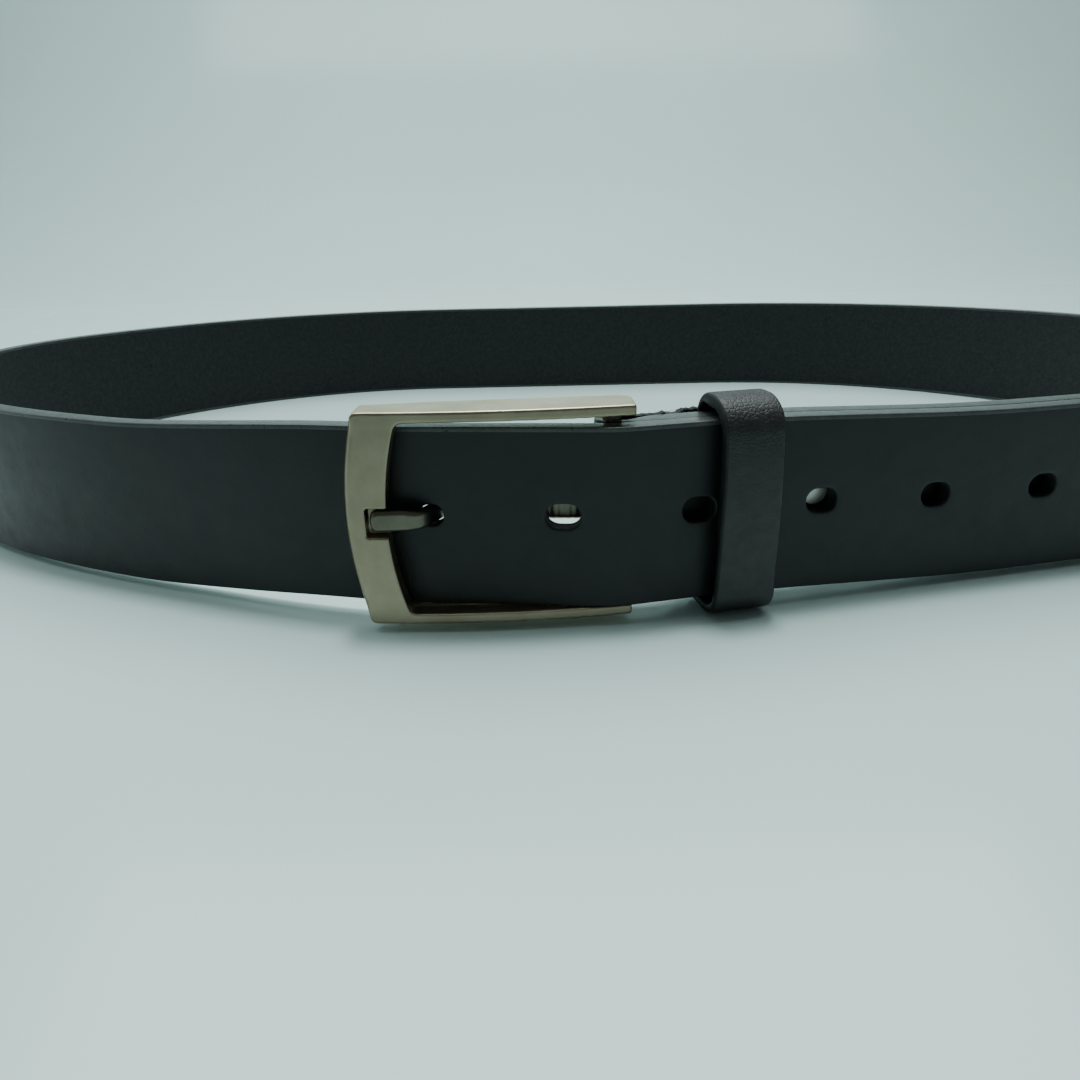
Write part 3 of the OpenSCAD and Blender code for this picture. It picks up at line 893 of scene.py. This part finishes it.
KEEPER_FRONT = OUTER_FACE - KEEPER_ROOM - KEEPER_T
KEEPER_BACK = INNER_BACK + KEEPER_GAP + KEEPER_T
# Outer radii of the band's corners: back top, front top, front bottom, back bottom
KEEPER_CORNERS = (5.3, 6.4, 4.8, 2.7)
KEEPER_SAG = 1.3
KEEPER_JOINT = 0.12
KEEPER_EDGE_R = 0.8
# The worn band's shape: how it swells in front, narrows towards the top and thins at its edges
KEEPER_SWELL = (0.45, 0.25)
KEEPER_SHIFT = (0.35, 0.6)
KEEPER_TAPER = 0.045
KEEPER_WAVE = 0.006
KEEPER_THINNING = 0.8


def keeper_line(count):
    """Middle line of the band's thickness as rows of (across, up, normal across, normal up),
    from the joint at the back, over the top, down the front and back under the strap."""
    half, gap = KEEPER_T / 2, KEEPER_JOINT
    back, front = KEEPER_BACK - half, KEEPER_FRONT + half
    low, high, middle = half - KEEPER_SAG, KEEPER_H - half, KEEPER_H / 2
    r = [radius - half for radius in KEEPER_CORNERS]
    path = [
        (high - middle - gap - r[0], 0), bend(r[0], 90),
        (back - front - r[0] - r[1], 0), bend(r[1], 90),
        (high - low - r[1] - r[2], 0), bend(r[2], 90),
        (back - front - r[2] - r[3], 0), bend(r[3], 90),
        (middle - gap - low - r[3], 0)]
    rows = trace((back, middle + gap, 90), path)
    at = np.linspace(0, rows[-1, 0], count)
    y, z, heading = (np.interp(at, rows[:, 0], rows[:, k]) for k in (1, 2, 3))
    heading = np.radians(heading)
    return np.column_stack([y, z, np.sin(heading), -np.cos(heading)])


def make_keeper():
    line = keeper_line(190)
    n = len(line)
    half_w, half_t = KEEPER_W / 2, KEEPER_T / 2
    r = KEEPER_EDGE_R
    turns = np.radians([90, 65, 40, 15])
    side = np.column_stack([half_w - r + r * np.cos(turns), half_t - r + r * np.sin(turns)])
    across = np.linspace(-(half_w - r), half_w - r, 9)[1:-1]
    outer = np.column_stack([across, np.full(len(across), half_t)])
    ring = np.vstack([
        outer, side, side[::-1] * (1, -1), outer[::-1] * (1, -1), side * (-1, -1), side[::-1] * (-1, 1)])
    per = len(ring)
    rows = []
    for k, (y, z, ny, nz) in enumerate(line):
        level = np.clip(2 * z / KEEPER_H - 1, -1, 1)
        crown = math.cos(math.pi * level / 2) * max(0.0, -ny)
        centred = np.cos(math.pi * np.clip(ring[:, 0] / half_w, -1, 1) / 2)
        swell = crown * (KEEPER_SWELL[0] + KEEPER_SWELL[1] * centred)
        wave = KEEPER_WAVE * math.sin(9 * math.pi * k / (n - 1))
        taper = 1.01 - KEEPER_TAPER * level + wave
        upper = float(ease((z / KEEPER_H - 0.3) / 0.2))
        forward = float(ease((KEEPER_BACK - 2.5 - y) / 3))
        inwards = KEEPER_THINNING * (ring[:, 1] < 0) * upper * forward
        out = ring[:, 1] + swell - inwards
        middle = KEEPER_AT + KEEPER_SHIFT[0] - KEEPER_SHIFT[1] * max(level, 0.0) ** 2
        rows.append(np.column_stack([middle + ring[:, 0] * taper, y + out * ny, z + out * nz]))
    rows = np.array(rows)
    c = math.cos(math.radians(LAP_HEADING))
    s = math.sin(math.radians(LAP_HEADING))
    along, inward, up = rows[..., 0], rows[..., 1], rows[..., 2]
    points = np.stack([along * c - inward * s, along * s + inward * c, up], -1)
    faces, kinds = [], []
    for i in range(n - 1):
        for k in range(per):
            j = (k + 1) % per
            faces.append([i * per + k, i * per + j, (i + 1) * per + j, (i + 1) * per + k])
            middle = 0.5 * (ring[k] + ring[j])
            if abs(middle[0]) > half_w - 0.35:
                kinds.append(EDGE)
            else:
                kinds.append(GRAIN if middle[1] > 0 else FLESH)
    faces += [list(range(per))[::-1], list(range((n - 1) * per, n * per))]
    kinds += [EDGE, EDGE]
    piece = mesh_piece("keeper_leather", points.reshape(-1, 3), faces, KEEPER_MATERIALS, kinds)
    turn_outwards(piece)
    subdivided(piece, 1)
    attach(piece, "keeper")
    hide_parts("keeper_band")


# ---------------------------------------------------------------- the buckle

WINDOW_X = END_BAR_W - FRAME_REACH
ARM_REACH = 3.7
BOW_R = 210.0
BOW_AT = -29.0
BOW_FRONT = -8.5
ARM_BACK = (-1.3, 0.6, 2.8)
ARM_SHOULDER = (-47.0, -31.8)
ARM_ROUND = 3.0
END_BAR_BACK = -4.1
NOTCH_BACK = -5.35
NOTCH_H = 5.6
NOTCH_END = -45.6
OUTER_BULGE_R = 70.0
WINDOW_BULGE_R = 60.0
CRISP = 0.32
SOFT = 1.6


def frame_field(x, y, z):
    """The frame: a front outline with a window, bowed in front, its arms deeper to the right."""
    outline = rounded_both(
        disc(x, z, OUTER_BULGE_R - FRAME_REACH, MID_Z, OUTER_BULGE_R),
        rounded_box(x, z, (-FRAME_REACH - 2, 0), (ARM_REACH, FRAME_H), 0.5), 0.9)
    window = rounded_both(
        disc(x, z, WINDOW_X + WINDOW_BULGE_R, MID_Z, WINDOW_BULGE_R),
        rounded_box(x, z, (WINDOW_X - 2, ARM_H), (60, FRAME_H - ARM_H), 0.5), 1.2)
    bow = disc(x, y, BOW_AT, BOW_FRONT + BOW_R, BOW_R)
    round_x = ARM_REACH - ARM_ROUND
    back_line = y - np.interp(x, [*ARM_SHOULDER, round_x], ARM_BACK)
    end = disc(x, y, round_x, ARM_BACK[2] - ARM_ROUND, ARM_ROUND)
    beyond = (x > round_x) & (y > ARM_BACK[2] - ARM_ROUND)
    back = np.where(beyond, end, back_line)
    to_edge = np.minimum(z, FRAME_H - z)
    softness = CRISP + (SOFT - CRISP) * ease((-43.8 - x) / 3.2) * ease(to_edge / 4)
    body = rounded_both(outline, bow, softness)
    body = rounded_both(body, back, CRISP)
    body = rounded_both(body, -window, CRISP)
    passage = np.maximum(
        END_BAR_BACK - y, rounded_box(x, z, (-80, ARM_H), (60, FRAME_H - ARM_H), 0.5))
    body = rounded_both(body, -passage, CRISP)
    notch = np.maximum(y - NOTCH_BACK, rounded_box(
        x, z, (NOTCH_END, MID_Z - NOTCH_H / 2), (NOTCH_END + 12, MID_Z + NOTCH_H / 2), 0.5))
    return rounded_both(body, -notch, 0.22)


def make_frame():
    low = (-FRAME_REACH, BOW_FRONT, 0)
    high = (ARM_REACH, ARM_BACK[2], FRAME_H)
    piece = solid("buckle_frame_nickel", frame_field, low, high, 0.3, [NICKEL])
    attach(piece, "buckle")
    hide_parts("buckle_frame")


# ---------------------------------------------------------------- the prong

PRONG_T = 2.0
PRONG_W = 4.2
NECK_W = 3.7
EYE_OUTER_R = 3.4
TIP_T = 2.6
TIP_X = -45.2
TIP_Y = -6.85
SHANK_Y = EYE_OUTER_R - PRONG_T / 2
RAMP_SLOPE = 66.0
RAMP_SHIFT = 0.7
SHANK_START = (0.0, -0.8)
SHANK_NEAR = 11.0
SHANK_GAP = 0.7
PRONG_ROUND = 0.95
# Along the prong, where its width goes down to the neck's and up again
NECK_AT = [-38.4, -36.4, -34.0, -31.0]
CROSSING = LINE.at(STRAP_LEN + FIRST_HOLE, 0.0, STRAP_T / 2)


def ramp_point(y):
    """Where the prong's ramp through the first hole stands at a distance across."""
    return (CROSSING[0] + RAMP_SHIFT + (y - CROSSING[1]) / math.tan(math.radians(RAMP_SLOPE)), y)


def rounded_corner(before, corner, after, reach, count=7):
    """Points of a smooth curve that cuts a corner, starting and ending reach away from it."""
    before, corner, after = (np.array(p, dtype=float) for p in (before, corner, after))
    start = corner + reach * (before - corner) / np.linalg.norm(before - corner)
    end = corner + reach * (after - corner) / np.linalg.norm(after - corner)
    t = np.linspace(0, 1, count)[:, None]
    return (1 - t) ** 2 * start + 2 * t * (1 - t) * corner + t ** 2 * end


def prong_line():
    """The prong's middle line from above, from the eye to the tip, with its half thickness."""
    eye, tip = SHANK_START, (TIP_X + TIP_T / 2, TIP_Y)
    top, bottom = ramp_point(SHANK_Y), ramp_point(TIP_Y)
    back = LINE.at(STRAP_LEN - SHANK_NEAR, 0.0, STRAP_T)[:2]
    near = back + np.array([0.0, PRONG_T / 2 + SHANK_GAP])
    points = np.vstack([
        [eye], rounded_corner(eye, near, top, 4.0), rounded_corner(near, top, bottom, 2.2),
        rounded_corner(top, bottom, tip, 2.0), [tip]])
    half = np.interp(points[:, 0], [tip[0] + 2, bottom[0] - 1], [TIP_T / 2, PRONG_T / 2])
    return points, half


PRONG_POINTS, PRONG_HALF = prong_line()


def prong_field(x, y, z):
    """The prong: an eye, a shank behind the strap, a ramp through the hole and a domed tip."""
    side = disc(x, y, 0, 0, EYE_OUTER_R)
    for k in range(len(PRONG_POINTS) - 1):
        limb = capsule(x, y, PRONG_POINTS[k], PRONG_POINTS[k + 1], PRONG_HALF[k], PRONG_HALF[k + 1])
        side = softly_either(side, limb, 0.25)
    side = np.maximum(side, PIN_R + 0.04 - np.hypot(x, y))
    half = np.interp(x, NECK_AT, [PRONG_W / 2, NECK_W / 2, NECK_W / 2, PRONG_W / 2])
    level = z - MID_Z - 0.3 * ease((-34 - x) / 5) + 0.15 * ease((x + 30) / 8)
    tip_middle = TIP_X + PRONG_W / 2
    domed = disc(x, level, tip_middle, 0, PRONG_W / 2)
    front = np.where(x < tip_middle, domed, np.abs(level) - half)
    return rounded_both(side, front, PRONG_ROUND)


def make_prong():
    low = (TIP_X, TIP_Y - TIP_T / 2, MID_Z - PRONG_W / 2 - 0.4)
    high = (EYE_OUTER_R, EYE_OUTER_R, MID_Z + PRONG_W / 2 + 0.4)
    piece = solid("prong_nickel", prong_field, low, high, 0.16, [PRONG_NICKEL])
    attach(piece, "prong")
    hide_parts("prong")


def finish_small_parts():
    """The pin bar, rivets and staples keep their CAD shapes."""
    finishes = {"pin_bar": PIN_NICKEL}
    for number in (1, 2):
        finishes[f"rivet_{number}_post"] = RIVET_NICKEL
        finishes[f"rivet_{number}_cap"] = RIVET_NICKEL
    for side in ("left", "right"):
        finishes[f"keeper_staple_{side}"] = STAPLE_STEEL
    for node, made in finishes.items():
        for holder in frame["nodes"][node].material_slots:
            holder.material = made


# ---------------------------------------------------------------- camera, floor and light


LENS = 26.667
CAMERA_AT = (-0.016765, -0.254042, 0.071422)
CAMERA_DOWN = 21.8387
CAMERA_ROLL = -1.2537
FLOOR_DROP = 0.0018
LOOP_HALF = 0.11


def make_camera():
    data = bpy.data.cameras.new("camera")
    data.sensor_width = 36.0
    data.lens = LENS
    data.clip_start = 0.01
    camera = bpy.data.objects.new("camera", data)
    down = Matrix.Rotation(math.radians(90 - CAMERA_DOWN), 4, "X")
    roll = Matrix.Rotation(math.radians(CAMERA_ROLL), 4, "Z")
    camera.matrix_world = Matrix.Translation(CAMERA_AT) @ down @ roll
    bpy.context.scene.collection.objects.link(camera)
    bpy.context.scene.camera = camera


def make_sweep():
    """A floor that curves up into a backdrop behind the belt. The belt leans on its keeper, so
    the floor falls away a little from the loop's back to its front."""
    front, bend_at, radius, top, half = -1.6, 0.62, 0.55, 1.9, 2.4
    line = [(front, -FLOOR_DROP), (-LOOP_HALF, -FLOOR_DROP), (LOOP_HALF, 0.0), (0.2, 0.0)]
    for k in range(13):
        a = math.radians(90 * k / 12)
        line.append((bend_at + radius * math.sin(a), radius * (1 - math.cos(a))))
    line.append((bend_at + radius, top))
    xs = np.linspace(-half, half, 7)
    points = np.array([(x, y, z) for y, z in line for x in xs]) / MM - ORIGIN / MM
    faces = []
    for i in range(len(line) - 1):
        for k in range(len(xs) - 1):
            a = i * len(xs) + k
            faces.append([a, a + 1, a + 1 + len(xs), a + len(xs)])
    mesh_piece("pale_sweep", points, faces, [floor_finish()])


def make_light(name, place, towards, size, power, colour):
    data = bpy.data.lights.new(name, "AREA")
    data.shape = "RECTANGLE"
    data.size, data.size_y = size
    data.energy = power
    data.color = colour
    light = bpy.data.objects.new(name, data)
    aim = Vector(towards) - Vector(place)
    light.matrix_world = Matrix.Translation(place) @ aim.to_track_quat("-Z", "Y").to_matrix().to_4x4()
    bpy.context.scene.collection.objects.link(light)


def make_world():
    world = bpy.data.worlds.new("soft_room")
    world.use_nodes = True
    background = world.node_tree.nodes["Background"]
    background.inputs["Color"].default_value = (0.80, 0.95, 0.93, 1)
    background.inputs["Strength"].default_value = 0.15
    bpy.context.scene.world = world


make_camera()
make_sweep()
make_world()
make_light("overhead", (0.0, 0.32, 1.05), (0, 0.12, 0), (1.5, 1.0), 19.0, (0.88, 1.0, 0.975))
make_light("key", (0.03, 0.06, 1.25), (0, 0, 0), (0.2, 0.2), 9.0, (0.90, 1.0, 0.98))
make_light("left_wall", (-1.1, 0.2, 0.45), (0, 0, 0), (0.9, 0.7), 3.3, (0.84, 0.98, 1.0))
make_strap()
make_fibres()
make_free_end()
make_keeper()
make_frame()
make_prong()
finish_small_parts()
